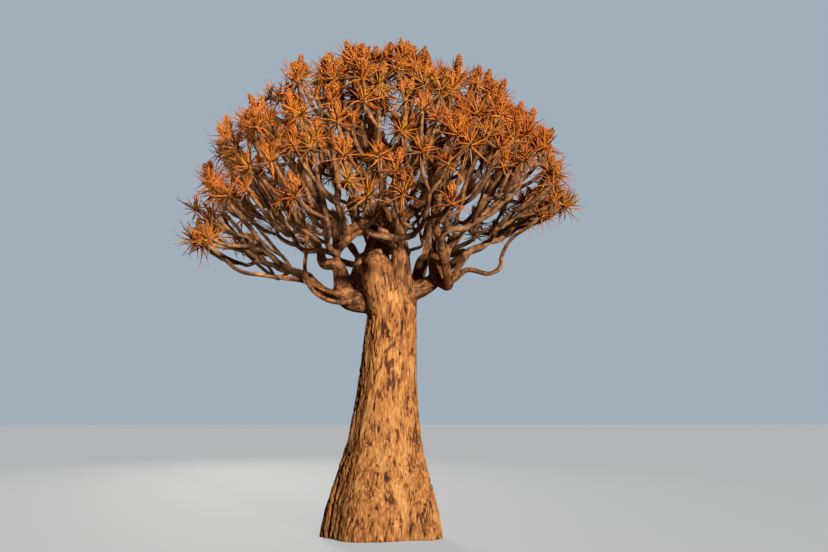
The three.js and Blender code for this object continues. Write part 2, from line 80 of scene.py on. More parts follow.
# Boughs, as in the source. Forks are elevation, share of the way to the crown's surface, and azimuth
# where it isn't the sector's own.
SECTOR_WIDTH = 72
SECTORS = [
    {"name": "left", "azimuth": 180, "rim": 14.5, "root": (10, -20, 2850), "arm": [420, 180],
     "forks": [(1, 0.22), (8, 0.3), (32, 0.27), (30, 0.33)]},
    {"name": "front", "azimuth": 252, "rim": 19, "root": (225, -130, 2820), "knee": (215, -200, 3300),
     "forks": [(66, 0.24, 285), (50, 0.33, 236), (66, 0.33, 262), (56, 0.36, 256)],
     "arm": [330, 140, 70], "low_up": 0.9},
    {"name": "right", "azimuth": 324, "rim": 29, "root": (170, -60, 2870),
     "forks": [(22, 0.22, 345), (13, 0.3, 338), (36, 0.28), (32, 0.33)]},
    {"name": "rear_right", "azimuth": 36, "rim": 29, "root": (210, 110, 2780), "one_low": True,
     "forks": [(33, 0.17), (24, 0.27), (46, 0.25), (40, 0.31)]},
    {"name": "rear_left", "azimuth": 108, "rim": 26, "root": (30, 120, 2780), "one_low": True,
     "forks": [(27, 0.2, 145), (24, 0.27, 142), (46, 0.25, 132), (40, 0.31, 126)], "arm": [330, 120]},
]
ARM = [200, 60]  # rosettes that a sector's arm is thick for, where it leaves the trunk and ends
TOP_ROOT = (60, 60, 2850)
TOP_ARM = [330, 120]
TOP_MASSES = 3
TOP_FORKS = [(76, 0.2, 160), (82, 0.31, 330)]
BOUGH_END = 0.4
ROOT_NARROWS = 0.6
SPRIGS = {
    "front_sprig": [
        (-330, -60, 2870), (-500, -190, 2800), (-720, -380, 2830),
        (-880, -500, 2960), (-935, -560, 3130), (-925, -590, 3360),
    ],
    "left_sprig": [
        (-430, -40, 2900), (-620, -180, 2925), (-965, -380, 3040),
        (-1400, -560, 3075), (-1700, -660, 3120), (-1960, -720, 3330),
    ],
    "right_sprig": [
        (640, -150, 3090), (850, -260, 3070), (1024, -360, 3190), (1290, -460, 3130),
        (1410, -500, 3200), (1430, -520, 3330), (1530, -580, 3520), (1763, -680, 3690),
    ],
}
SPRIG_RADII = [44, 36, 32, 30, 28, 26]
SPRIG_STEM = 210

# Twigs: the source's numbers, with the shares of its forks carried on to finer twigs
TWIG_RADIUS = 23
THICKENING = 0.34
FORK_SHARES = [BOUGH_END, 0.48, 0.58, 0.68, 0.77, 0.84]
SHARE_JITTER = 0.04
CELL_JITTER = 0.14
FORK_SPREAD = 0.36
FORK_DROOP = 0.16
LIFT = 0.3
HANDLE = 0.38
SEED = 7
STEPS_PER_TWIG = 5
COLLAR = 1.05  # thickening of a mass's stem where it grips its bough
COLLAR_LENGTH = 35
STEM_SIDES = 8
TWIG_SIDES = 7
TIP_THICKER = 1.1  # than the rest of the twig, where it carries its rosette
END_BULGE = 0.5  # of a tube's ends, as a share of its radius

# Rosettes
TIP_JITTER = 0.32  # of a rosette within its own space, across and upward
TIP_STRAYS = 5  # degrees up or down
TIP_INSET = [235, 420]  # of a rosette from the crown's surface, mostly nearer the first
DEEP_SHARE = 0.3  # of the rosettes above the low ring sit deeper in the crown
DEEPEST = 0.2  # share of the way back to the fork
ROSETTE_LIFT = 0.72
LEAVES = 27
DRY_LEAVES = 3
LEAF_LENGTH = 268
LEAF_WIDTH = 21
LEAF_STATIONS = np.array([0.0, 0.28, 0.56, 0.82, 1.0])
LEAF_WIDTHS = np.array([0.9, 1.0, 0.76, 0.4, 0.0])
LEAF_THICKNESSES = np.array([8, 8, 6.4, 4, 0])
CHANNEL = 0.3  # depth of the groove along a leaf, as a share of half its width
SPREADS = [20, 106]  # of the innermost and outermost leaves from the rosette's axis
SPREAD_STRAYS = 20
TURN_STRAYS = 30
GOLDEN_ANGLE = 137.508
SIZE_STRAYS = 0.09
SIZE_RANGE = (0.8, 1.15)
INNER_LENGTH = 0.62  # of the innermost leaves, as a share of the outermost ones'
INNER_WIDTH = 0.72
LENGTH_RANGE = (0.62, 1.16)
LEAVES_DOWN = [-15, 55]  # the stem from its tip, for the innermost and outermost leaves
LEAF_ROOT_OUT = 12  # from the middle of the stem
LEAF_TWIST = 0.3  # bends and turns of a leaf are in radians
LEAF_BEND = 0.1
BEND_STRAYS = 0.6
OUTER_DROOP = 0.4
LEAF_SWAY = 0.2
DRY_SPREAD = 145
DRY_LENGTH = 0.6
DRY_WIDTH = 0.5
DRY_BEND = -0.7
DRY_DOWN_STEM = 80
NEARLY_UPRIGHT = 0.1

# Flower heads
HEAD_SHARES = [0.15, 0.72]  # of the rosettes at the crown's rim, and at its top
HEAD_HEIGHTS = [3400, 5000]
HEAD_LENGTH = 212
HEAD_RADIUS = 42
CORE_RADIUS = 0.6 * HEAD_RADIUS
STALK = 92
BUDS = 56
BUD_LENGTH = 34
BUD_RADIUS = 10
BUD_TURN_STRAYS = 25
BUD_LEANS = [80, 25]  # of the lowest and highest buds away from the head's axis
BUD_LEAN_STRAYS = 18
BUD_SIZES = [1.0, 0.68]
BUD_SIZE_RANGE = (0.6, 1.3)
HEAD_LENGTH_RANGE = (0.75, 1.15)
HEADS_TOGETHER = [0.45, 0.35, 0.2]  # shares of one, two and three on a rosette
HEADS_UPRIGHT = 0.65
HEADS_APART = 0.42
HEADS_STRAY = 0.08

# Bark
VOXEL = 10
SMOOTHING = 0.6
SMOOTHINGS = 14
TRUNK_SIDES = 96
TRUNK_RING_EVERY = 25
BELOW_GROUND = 60  # of trunk, cut away again for a flat foot
BARK_TRIANGLES = 290000
STUMP_STEPS = 9  # between two radii
STUMP_SIDES = 40
BOUGH_STEPS = 12
BOUGH_SIDES = 20
SAMPLES = 16  # of a centre line between two radii
TRUNK_SAMPLE_EVERY = 40.0
LIMBS_APART = 1700  # in the space of the bark's noise
FAR = 1e4
OLD_BARK_RADII = (120, 260)  # of a limb with young bark, then one with old
AGE_EVENINGS = 60
SCARS_DARKEN = 0.5
TIP_FADE = (20, 260)  # from a bough's tip, over which its relief grows

# Noises of the bark: millimetres between lattice points across and along the limb, and the seed
BARK_NOISES = {
    "wander": (200, 300, 1), "ropes": (46, 420, 2), "crack": (34, 460, 3), "streak": (17, 60, 4),
    "pits": (52, 60, 6), "rough": (230, 420, 7), "broken": (54, 120, 8), "lumps": (30, 42, 9),
    "folds": (34, 260, 11), "rings": (160, 38, 12), "flakes": (60, 170, 13), "stain": (44, 84, 15),
}

dice = np.random.default_rng(SEED)


# Numbers in the source's fixed order for each seed, between 0 and 1
def seeded(seed):
    modulus = 2147483647
    state = seed % (modulus - 1) + 1

    def draw():
        nonlocal state
        state = state * 48271 % modulus
        return state / modulus

    for _ in range(3):
        draw()
    return draw


def unit(vector):
    return vector / np.linalg.norm(vector)


def units(vectors):
    return vectors / np.linalg.norm(vectors, axis=-1)[..., None]


def lerp(start, end, share):
    return start + (end - start) * share


def smoothstep(low, high, values):
    share = np.clip((values - low) / (high - low), 0, 1)
    return share * share * (3 - 2 * share)


def direction(azimuth, elevation):
    a, e = math.radians(azimuth), math.radians(elevation)
    return np.array([math.cos(a) * math.cos(e), math.sin(a) * math.cos(e), math.sin(e)])


# How far the crown's surface, an ellipsoid, lies from the fork along a direction
def crown_reach(way):
    squash = np.array([2 / CROWN_WIDTH, 2 / CROWN_WIDTH, 1 / (TREE_HEIGHT - CROWN_WIDEST_AT)])
    start = (FORK - np.array([0, 0, CROWN_WIDEST_AT])) * squash
    along = way * squash
    a = along @ along
    b = start @ along
    return (math.sqrt(b * b - a * (start @ start - 1)) - b) / a


# A point at a share of the way from the fork to the crown's surface, once it hangs
def crown_point(azimuth, elevation, share):
    way = direction(azimuth, elevation)
    point = FORK + way * crown_reach(way) * share
    out = min(1, math.hypot(point[0] - FORK[0], point[1] - FORK[1]) / (CROWN_WIDTH / 2))
    hang = SAG * math.sin(math.pi * out**SAG_PEAK) ** 2
    point[2] -= hang * min(1, max(0, 1 - (point[2] - FORK[2]) / SAG_HEIGHT))
    return point


def limb_radius(rosettes):
    return TWIG_RADIUS * rosettes**THICKENING


# Curves are functions of the share along them

# The source's centripetal curve through points
def spline(points):
    points = [np.array(point, float) for point in points]

    def at(share):
        place = share * (len(points) - 1)
        i = min(int(place), len(points) - 2)
        p1, p2 = points[i], points[i + 1]
        p0 = points[i - 1] if i else 2 * p1 - p2
        p3 = points[i + 2] if i + 2 < len(points) else 2 * p2 - p1
        gaps = (p1 - p0, p2 - p1, p3 - p2)
        before, within, after = (math.sqrt(np.linalg.norm(gap)) for gap in gaps)
        leave = ((p1 - p0) / before - (p2 - p0) / (before + within)) * within + p2 - p1
        arrive = p2 - p1 + ((p3 - p2) / after - (p3 - p1) / (within + after)) * within
        w = place - i
        curve = (-3 * p1 + 3 * p2 - 2 * leave - arrive) * w**2 + (2 * p1 - 2 * p2 + leave + arrive) * w**3
        return p1 + leave * w + curve

    return at


def bezier(p0, p1, p2, p3):
    return lambda t: (1 - t) ** 3 * p0 + 3 * (1 - t) ** 2 * t * p1 + 3 * (1 - t) * t**2 * p2 + t**3 * p3


def tangent(curve, share):
    step = 1e-4
    return unit(curve(min(share + step, 1)) - curve(max(share - step, 0)))


# Centres, tangents and radii along a curve, from radii that are spaced evenly along it
def sections(curve, radii, steps):
    shares = np.linspace(0, 1, steps + 1)
    centres = np.array([curve(share) for share in shares])
    tangents = np.array([tangent(curve, share) for share in shares])
    return centres, tangents, np.interp(shares * (len(radii) - 1), range(len(radii)), radii)


# Two directions across each section, which turn no more than the curve does
def frames_along(tangents):
    normal = np.array([0.0, 1, 0]) if abs(tangents[0][0]) > 0.9 else np.array([1.0, 0, 0])
    normals = []
    for along in tangents:
        normal = unit(normal - along * (normal @ along))
        normals.append(normal)
    normals = np.array(normals)
    return normals, np.cross(tangents, normals)


# Directions at angles from one direction toward another that is square to it
def turned(angles, first, second):
    return np.cos(angles)[..., None] * first + np.sin(angles)[..., None] * second


# Meshes

# Parts that become one mesh: vertices, triangles, and a number for each triangle's material
class Gathered:
    def __init__(self):
        self.points, self.faces, self.tints, self.count = [], [], [], 0

    def add(self, points, faces, tints=0):
        self.points.append(points)
        self.faces.append(faces + self.count)
        self.tints.append(np.broadcast_to(tints, len(faces)))
        self.count += len(points)

    # The same triangles once for each set of points, with a tint for each set or each of its faces
    def add_many(self, points, faces, tints):
        count = points.shape[-2]
        points = points.reshape(-1, 3)
        offsets = np.arange(0, len(points), count)[:, None, None]
        tints = np.broadcast_to(tints.reshape(len(offsets), -1), (len(offsets), len(faces)))
        self.add(points, (faces + offsets).reshape(-1, 3), tints.ravel())

    def mesh(self, name):
        points, faces, tints = map(np.concatenate, (self.points, self.faces, self.tints))
        mesh = bpy.data.meshes.new(name)
        mesh.vertices.add(len(points))
        mesh.vertices.foreach_set("co", (points * MM).astype(np.float32).ravel())
        mesh.loops.add(faces.size)
        mesh.loops.foreach_set("vertex_index", faces.astype(np.int32).ravel())
        mesh.polygons.add(len(faces))
        mesh.polygons.foreach_set("loop_start", np.arange(0, faces.size, 3, dtype=np.int32))
        mesh.polygons.foreach_set("material_index", tints.astype(np.int32))
        mesh.update(calc_edges=True)
        mesh.validate()
        mesh.shade_smooth()
        return mesh


def placed(name, data):
    made = bpy.data.objects.new(name, data)
    scene.collection.objects.link(made)
    return made


def piece(name, mesh, materials, nodes):
    made = placed(name, mesh)
    for material in materials:
        mesh.materials.append(material)
    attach(made, "root")
    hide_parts(*nodes)


# Faces of a tube of rings, which closes on the two points that follow the rings
def ring_faces(rings, sides):
    a = np.arange(sides)
    b = (a + 1) % sides
    strip = np.concatenate([np.stack([a, b, b + sides], 1), np.stack([a, b + sides, a + sides], 1)])
    strips = strip + np.arange(0, (rings - 1) * sides, sides)[:, None, None]
    end = np.full(sides, rings * sides)
    last = end - sides
    ends = np.stack([b, a, end], 1), np.stack([last + a, last + b, end + 1], 1)
    return np.concatenate([strips.reshape(-1, 3), *ends])


# A closed tube through cross-sections, with rounded ends
def tube(centres, tangents, radii, sides):
    normals, across = frames_along(tangents)
    turns = np.arange(sides) * 2 * math.pi / sides
    ring = turned(turns[None], normals[:, None], across[:, None])
    points = (centres[:, None] + ring * radii[:, None, None]).reshape(-1, 3)
    bulges = tangents * radii[:, None] * END_BULGE
    ends = [centres[0] - bulges[0], centres[-1] + bulges[-1]]
    return np.concatenate([points, ends]), ring_faces(len(centres), sides)


# Boughs, as in the source

def ring_space(ring, azimuth, width, rim=RIM_ELEVATION):
    names = list(RINGS)
    below = names.index(ring) - 1
    edge = lambda name: RINGS[name]["to"] + (rim - RIM_ELEVATION) * RINGS[name]["follows"]
    low = rim if below < 0 else edge(names[below])
    return (azimuth - width / 2, azimuth + width / 2), (low, edge(ring))


# The middle of a space, with equal areas of the crown above and below
def middle(space, across=0.5, upward=0.5):
    azimuths, elevations = space
    low, high = (math.sin(math.radians(elevation)) for elevation in elevations)
    return lerp(*azimuths, across), math.degrees(math.asin(lerp(low, high, upward)))


# The two spaces that a fork parts, cut across the longer side
def parted(space, share):
    azimuth, elevation = middle(space, share, share)
    (left, right), (low, high) = space
    if (right - left) * math.cos(math.radians(middle(space)[1])) > high - low:
        return ((left, azimuth), (low, high)), ((azimuth, right), (low, high))
    return ((left, right), (low, elevation)), ((left, right), (elevation, high))


def bough(name, ring, space, points, rosettes, bough_up=None, masses=1):
    azimuth, elevation = middle(space, 0.5, bough_up or RINGS[ring]["up"])
    carried = RINGS[ring]["rosettes"] * masses
    radii = [limb_radius(count) for count in [*rosettes, carried]]
    radii[0] *= 1 if rosettes[0] >= ARM[0] else ROOT_NARROWS
    curve = spline([*points, crown_point(azimuth, elevation, BOUGH_END)])
    return {"name": name, "ring": ring, "space": space, "curve": curve, "radii": radii, "rosettes": carried}


def sector_boughs(sector):
    name, azimuth, rim, half = sector["name"], sector["azimuth"], sector["rim"], SECTOR_WIDTH / 2
    low, mid = ([ring_space(ring, azimuth + side * half / 2, half, rim) for side in (-1, 1)]
                for ring in ("low", "middle"))
    high = ring_space("high", azimuth, SECTOR_WIDTH, rim)
    arm, low_fork, high_fork, mid_fork = (
        crown_point(*(own or [azimuth]), elevation, share) for elevation, share, *own in sector["forks"])
    knee = [sector["knee"]] if "knee" in sector else []
    lead_rosettes = [*sector.get("arm", ARM), 44, 26]
    low_up = sector.get("low_up")
    if sector.get("one_low"):
        whole = ring_space("low", azimuth, SECTOR_WIDTH, rim)
        low_boughs = [bough(f"{name}_low", "low", whole, [arm, low_fork], [44, 26], masses=2)]
    else:
        low_boughs = [
            bough(f"{name}_low_a", "low", low[0], [arm, low_fork], [44, 26], low_up),
            bough(f"{name}_low_b", "low", low[1], [low_fork], [20], low_up),
        ]
    return [
        bough(f"{name}_middle_a", "middle", mid[0],
              [sector["root"], *knee, arm, high_fork, mid_fork], lead_rosettes),
        bough(f"{name}_middle_b", "middle", mid[1], [mid_fork], [20]),
        bough(f"{name}_high", "high", high, [high_fork], [30]),
        *low_boughs,
    ]


def top_boughs():
    width = 360 / TOP_MASSES
    forks = [crown_point(azimuth, elevation, share) for elevation, share, azimuth in TOP_FORKS]
    starts = [([TOP_ROOT, *forks], [*TOP_ARM, 44]), ([forks[0]], [34]), ([forks[1]], [34])]
    spaces = [ring_space("top", 30 + i * width, width) for i in range(TOP_MASSES)]
    return [bough(f"top_{letter}", "top", space, *start)
            for letter, space, start in zip("abc", spaces, starts)]


# Growth of a mass, by the source's rule

# A limb leaves its fork to its own side, a little downward when low, and turns up by its end
def limb_curve(start, heading, to, end, spread, droop):
    sideways = to - start
    sideways = unit(sideways - heading * (sideways @ heading))
    leaving = unit(heading * (1 - spread) + sideways * spread - UP * droop)
    reach = np.linalg.norm(to - start) * HANDLE
    return bezier(start, start + leaving * reach, to - end * reach, to)


def grow(seed, limb, start, heading, space, rosettes, level, path, found):
    random = seeded(SEED + seed * 1009 + path * 31)
    last = rosettes == 1
    stray = TIP_JITTER if last else CELL_JITTER
    across, upward = (0.5 + (random() - 0.5) * 2 * stray for _ in range(2))
    azimuth, elevation = middle(space, across, upward)
    jitter = SHARE_JITTER * (2 * random() - 1)
    if last:
        elevation += TIP_STRAYS * (2 * random() - 1)
    way = direction(azimuth, elevation)
    if last:
        share = 1 - lerp(*TIP_INSET, random() ** 2) / crown_reach(way)
        if random() < DEEP_SHARE and found["deep"]:
            share -= DEEPEST * random()
    else:
        share = FORK_SHARES[level + 1] + jitter
    to = crown_point(azimuth, elevation, share)
    end = unit(lerp(way, UP, LIFT))
    droop = FORK_DROOP * math.cos(math.radians(elevation)) ** 2
    leave = (FORK_SPREAD, droop) if level else (0, 0)
    limb["curves"].append(limb_curve(start, heading, to, end, *leave))
    limb["radii"].append(limb_radius(rosettes))
    if last:
        limb["radii"].append(limb_radius(rosettes) * TIP_THICKER)
        found["tips"].append((to, unit(lerp(end, UP, ROSETTE_LIFT))))
        return
    fewer = rosettes // 2
    for i, (part, count) in enumerate(zip(parted(space, fewer / rosettes), (fewer, rosettes - fewer))):
        following = limb if i else new_limb(found)
        grow(seed, following, to, end, part, count, level + 1, 2 * path + i, found)


def new_limb(found):
    found["limbs"].append({"curves": [], "radii": []})
    return found["limbs"][-1]


def mass_of(seed, made):
    end = tangent(made["curve"], 1)
    found = {"limbs": [], "tips": [], "deep": made["ring"] != "low"}
    start = made["curve"](1)
    grow(seed, new_limb(found), start, end, made["space"], made["rosettes"], 0, 1, found)
    return found


# A limb of a mass through its forks. The stem of the mass grips the end of its bough.
def twig_tube(limb, is_stem):
    between = zip(limb["curves"], limb["radii"], limb["radii"][1:])
    parts = [sections(curve, (start, end), STEPS_PER_TWIG) for curve, start, end in between]
    centres, tangents, radii = (
        np.concatenate([first, *(values[1:] for values in rest)]) for first, *rest in zip(*parts))
    if is_stem:
        centres, tangents, radii = (np.insert(part, 0, part[0], 0) for part in (centres, tangents, radii))
        centres[0] -= tangents[0] * COLLAR_LENGTH
        radii[:2] *= COLLAR
    else:
        radii[0] *= ROOT_NARROWS
    return tube(centres, tangents, radii, STEM_SIDES if is_stem else TWIG_SIDES)


# Leaves of rosettes

# Directions across an axis, for each of many axes
def sideways_of(axes):
    side = np.cross(axes, UP)
    side[np.linalg.norm(side, axis=1) < NEARLY_UPRIGHT] = (1, 0, 0)
    side = units(side)
    return side, np.cross(axes, side)


# Directions across each of many axes, a golden angle from one to the next, with strays
def golden_turns(axes, count, strays):
    side, across = sideways_of(axes)
    turn = np.arange(count) * GOLDEN_ANGLE + dice.uniform(0, 360, (len(axes), 1))
    turn = np.radians(turn + dice.normal(0, strays, (len(axes), count)))
    return turned(turn, side[:, None], across[:, None])


# Leaves of many rosettes, rosettes x leaves: where each starts and goes, which way its upper side faces
def rosette_leaves(tips, axes):
    count = LEAVES + DRY_LEAVES
    shape = (len(tips), count)
    dry = np.arange(count) >= LEAVES
    outer = np.clip((np.arange(count) + 0.5) / LEAVES, 0, 1)
    size = dice.normal(1, SIZE_STRAYS, (len(tips), 1)).clip(*SIZE_RANGE)
    spread = np.where(dry, DRY_SPREAD, lerp(*SPREADS, outer))
    spread = np.radians(spread + dice.normal(0, SPREAD_STRAYS, shape))
    out = golden_turns(axes, count, TURN_STRAYS)
    axis = axes[:, None]
    along = turned(spread, axis, out)
    facing = np.sin(spread)[..., None] * axis - np.cos(spread)[..., None] * out
    facing = turned(dice.normal(0, LEAF_TWIST, shape), facing, np.cross(along, facing))
    down_stem = np.where(dry, DRY_DOWN_STEM, lerp(*LEAVES_DOWN, outer))[None, :, None]
    start = tips[:, None] - axis * down_stem + out * LEAF_ROOT_OUT
    length = LEAF_LENGTH * size * np.where(dry, DRY_LENGTH, lerp(INNER_LENGTH, 1, outer**0.5))
    length = length * dice.uniform(*LENGTH_RANGE, shape)
    width = LEAF_WIDTH * size * np.where(dry, DRY_WIDTH, lerp(INNER_WIDTH, 1, outer))
    bend = dice.normal(LEAF_BEND, BEND_STRAYS, shape) - OUTER_DROOP * outer**2
    sway = dice.normal(0, LEAF_SWAY, shape)
    return {"start": start, "along": along, "facing": facing, "length": length, "width": width,
            "bend": np.where(dry, DRY_BEND, bend), "sway": sway, "outer": outer, "dry": dry}


# Points of blades: four round each station, from the root, then the point of the leaf
def leaf_points(leaves):
    gaps = np.diff(LEAF_STATIONS, prepend=0)
    length, width, bend, sway = (leaves[key][..., None] for key in ("length", "width", "bend", "sway"))
    angles = bend * LEAF_STATIONS - bend * gaps / 2
    steps = gaps * length
    along, upward = (np.cumsum(part(angles) * steps, axis=-1) for part in (np.cos, np.sin))
    sideways = sway * length * LEAF_STATIONS**2
    half = width / 2 * LEAF_WIDTHS
    # Across and up, in half widths, then how far below
    corners = ((-1, 0, 0), (0, -CHANNEL, 0), (1, 0, 0), (0, -CHANNEL, LEAF_THICKNESSES))
    local = np.stack([np.stack([half * x + sideways, along, upward + half * z - lower], -1)
                      for x, z, lower in corners], -2)
    local = local.reshape(*local.shape[:-3], -1, 3)[..., : 4 * len(LEAF_STATIONS) - 3, :]
    across = np.cross(leaves["along"], leaves["facing"])
    axes = np.stack([across, leaves["along"], leaves["facing"]], -2)
    return local @ axes + leaves["start"][..., None, :]


def leaf_faces():
    sides = ((0, 1), (1, 2), (2, 3), (3, 0))
    last = 4 * (len(LEAF_STATIONS) - 2)
    faces = []
    for low in range(0, last, 4):
        for a, b in sides:
            faces += [(low + b, low + a, low + 4 + a), (low + b, low + 4 + a, low + 4 + b)]
    faces += [(last + b, last + a, last + 4) for a, b in sides]
    return np.array(faces)


LEAF_TINTS = {
    "rust": (0.380, 0.082, 0.008),
    "russet": (0.456, 0.108, 0.009),
    "orange": (0.532, 0.138, 0.011),
    "amber": (0.547, 0.167, 0.015),
    "gold": (0.502, 0.194, 0.023),
    "olive": (0.350, 0.156, 0.014),
    "brown": (0.182, 0.065, 0.015),
    "dry": (0.304, 0.160, 0.068),
    "tip": (0.502, 0.084, 0.017),
    "root": (0.471, 0.201, 0.014),
}
LIVE_TINTS = 6
BROWN, DRY, RED_TIP, YELLOW_ROOT = 6, 7, 8, 9
ROSETTES_OF_TINT = [0.12, 0.3, 0.38, 0.15, 0.04, 0.01]
BROWN_SHARES = (0.04, 0.14)  # of the innermost and outermost leaves
YELLOW_ROOT_SHARE = 0.4
RED_TIP_SHARE = 0.35
ROOT_FACES = 8  # of a leaf, round its first length
TIP_FACES = 4


# The tint of each face: each rosette has its own, and its leaves differ from it a little
def leaf_tints(leaves, faces):
    shape = leaves["length"].shape
    own = dice.choice(LIVE_TINTS, shape[0], p=ROSETTES_OF_TINT)[:, None]
    tint = np.clip(own + dice.choice([-1, 0, 0, 1], shape), 0, LIVE_TINTS - 1)
    tint = np.where(dice.random(shape) < lerp(*BROWN_SHARES, leaves["outer"]), BROWN, tint)
    tint = np.where(leaves["dry"], DRY, tint)
    tints = np.repeat(tint[..., None], len(faces), axis=2)
    live = ~leaves["dry"] & (tint != BROWN)
    tints[live & (dice.random(shape) < YELLOW_ROOT_SHARE), :ROOT_FACES] = YELLOW_ROOT
    tints[live & (dice.random(shape) < RED_TIP_SHARE), -TIP_FACES:] = RED_TIP
    return tints


# Flower heads

BUD_TINTS = {
    "amber": (0.544, 0.160, 0.016),
    "orange": (0.480, 0.120, 0.011),
    "brown": (0.288, 0.084, 0.013),
    "honey": (0.528, 0.208, 0.029),
    "stalk": (0.336, 0.104, 0.014),
}
STALK_TINT = 4
HEADS_OF_TINT = [0.35, 0.3, 0.2, 0.15]
ODD_BUDS = 0.25  # share of the buds with a tint of their own


# Heads of one rosette: upright, spread a little from each other
def head_axes(axis):
    count = dice.choice([1, 2, 3], p=HEADS_TOGETHER)
    upright = unit(lerp(axis, UP, HEADS_UPRIGHT))
    turns = dice.uniform(0, 2 * math.pi) + np.arange(count) * 2 * math.pi / count
    tilt = (HEADS_APART if count > 1 else 0) + dice.normal(0, HEADS_STRAY, (count, 1))
    return units(upright + turned(turns, *sideways_of(upright[None])) * tilt)


# Points of the buds of many heads, heads x buds x 6: two ends and a girdle of four
def bud_points(starts, axes, lengths):
    share = (np.arange(BUDS) + 0.5) / BUDS
    out = golden_turns(axes, BUDS, BUD_TURN_STRAYS)
    lean = np.radians(lerp(*BUD_LEANS, share) + dice.normal(0, BUD_LEAN_STRAYS, (len(axes), BUDS)))
    axis = axes[:, None]
    heading = turned(lean, axis, out)
    # Buds stand on a core that narrows toward both ends of the head
    core = CORE_RADIUS * (1 - share**2.6) ** 0.5 * lerp(0.75, 1, np.minimum(share / 0.3, 1))
    base = starts[:, None] + axis * (STALK + share * (lengths[:, None] - STALK))[..., None]
    base = base + out * core[None, :, None]
    size = lerp(*BUD_SIZES, share)[None, :, None] * dice.uniform(*BUD_SIZE_RANGE, (len(axes), BUDS, 1))
    width = units(np.cross(heading, out))
    depth = np.cross(heading, width)
    waist = base + heading * BUD_LENGTH * 0.5 * size
    around = ((1, 0), (0, 1), (-1, 0), (0, -1))
    girdle = [waist + (x * width + y * depth) * BUD_RADIUS * size for x, y in around]
    return np.stack([base, *girdle, base + heading * BUD_LENGTH * size], axis=2)


GIRDLE = [(1, 2), (2, 3), (3, 4), (4, 1)]
BUD_FACES = np.array([(0, b, a) for a, b in GIRDLE] + [(5, a, b) for a, b in GIRDLE])


def stalk_tube(start, axis, length):
    shares = np.array([0.0, 0.35, 0.75, 1.0])
    centres = start + axis * lerp(STALK, length - 10, shares)[:, None]
    centres = np.concatenate([[start - axis * 25], centres])
    radii = HEAD_RADIUS * np.array([0.22, 0.55, 0.8, 0.62, 0.2])
    return tube(centres, np.array([axis] * len(radii)), radii, 6)


def gather_heads(gathered, tips, axes):
    heads = []
    for tip, axis in zip(tips, axes):
        if dice.random() < lerp(*HEAD_SHARES, smoothstep(*HEAD_HEIGHTS, tip[2])):
            heads += [(tip, heading) for heading in head_axes(axis)]
    starts, headings = map(np.array, zip(*heads))
    lengths = HEAD_LENGTH * dice.uniform(*HEAD_LENGTH_RANGE, len(heads))
    shape = (len(heads), BUDS)
    tint = dice.choice(STALK_TINT, (len(heads), 1), p=HEADS_OF_TINT)
    tint = np.where(dice.random(shape) < ODD_BUDS, dice.choice(STALK_TINT, shape), tint)
    gathered.add_many(bud_points(starts, headings, lengths), BUD_FACES, tint)
    for start, heading, length in zip(starts, headings, lengths):
        gathered.add(*stalk_tube(start, heading, length), STALK_TINT)


# Bark

# The trunk's radius without its ridges, and how much it flares, from 0 to 1
def trunk_column(height):
    flare = np.exp(-((np.maximum(height, 0) / FLARE_HEIGHT) ** FLARE_FALL))
    return lerp(TRUNK_BASE_RADIUS, TRUNK_NARROWS_TO, height / FORK[2]) + FLARE_RADIUS * flare, flare


# How far the trunk's surface lies from its axis
def trunk_radius(azimuth, height):
    column, flare = trunk_column(height)
    ridges = sum(depth * np.cos(lobes * (azimuth - math.radians(turn)))
                 for lobes, depth, turn in BUTTRESSES)
    into_dome = np.maximum(0, (height - TRUNK_TOP + TRUNK_DOME) / TRUNK_DOME)
    dome = np.sqrt(np.maximum(0.04, 1 - into_dome**2))
    return column * (1 + ridges * lerp(RIDGES_ALOFT, 1, flare)) * dome


def trunk_centre(height):
    return TRUNK_LEAN * (np.clip(height, 0, TRUNK_TOP) / TRUNK_TOP) ** 1.5


def trunk_shell():
    heights = np.arange(-BELOW_GROUND, TRUNK_TOP + 1, TRUNK_RING_EVERY).astype(float)
    azimuth, height = np.meshgrid(np.arange(TRUNK_SIDES) * 2 * math.pi / TRUNK_SIDES, heights)
    radius = trunk_radius(azimuth, height)
    x = trunk_centre(height) + radius * np.cos(azimuth)
    points = np.stack([x, radius * np.sin(azimuth), height], -1).reshape(-1, 3)
    ends = [(0, 0, heights[0]), (TRUNK_LEAN, 0, heights[-1])]
    return np.concatenate([points, ends]), ring_faces(len(heights), TRUNK_SIDES)


# Samples of the wood's centre lines: centre, directions across and along, place along the limb, its
# radius, distance to its tip
SAMPLED = ("centre", "normal", "across", "along", "place", "radius", "to_tip")


def line_samples(curve, radii, number, tip_fades):
    centres, tangents, widths = sections(curve, radii, SAMPLES * (len(radii) - 1))
    normals, across = frames_along(tangents)
    lengths = np.concatenate([[0], np.cumsum(np.linalg.norm(np.diff(centres, axis=0), axis=1))])
    to_tip = lengths[-1] - lengths if tip_fades else np.full(len(lengths), FAR)
    places = lengths + number * LIMBS_APART
    return dict(zip(SAMPLED, (centres, normals, across, tangents, places, widths, to_tip)))


def trunk_samples():
    heights = np.arange(0, TRUNK_TOP - 200, TRUNK_SAMPLE_EVERY)
    count = len(heights)
    centres = np.stack([trunk_centre(heights), np.zeros(count), heights], 1)
    ways = np.eye(3)[:, None].repeat(count, 1)
    return dict(zip(SAMPLED, (centres, *ways, heights, trunk_column(heights)[0], np.full(count, FAR))))


# Samples outside the trunk only
def outside_trunk(samples):
    x, y, z = samples["centre"].T
    x = x - trunk_centre(z)
    inside = (np.hypot(x, y) < trunk_radius(np.arctan2(y, x), z)) & (z < TRUNK_TOP)
    return {key: values[~inside] for key, values in samples.items()}


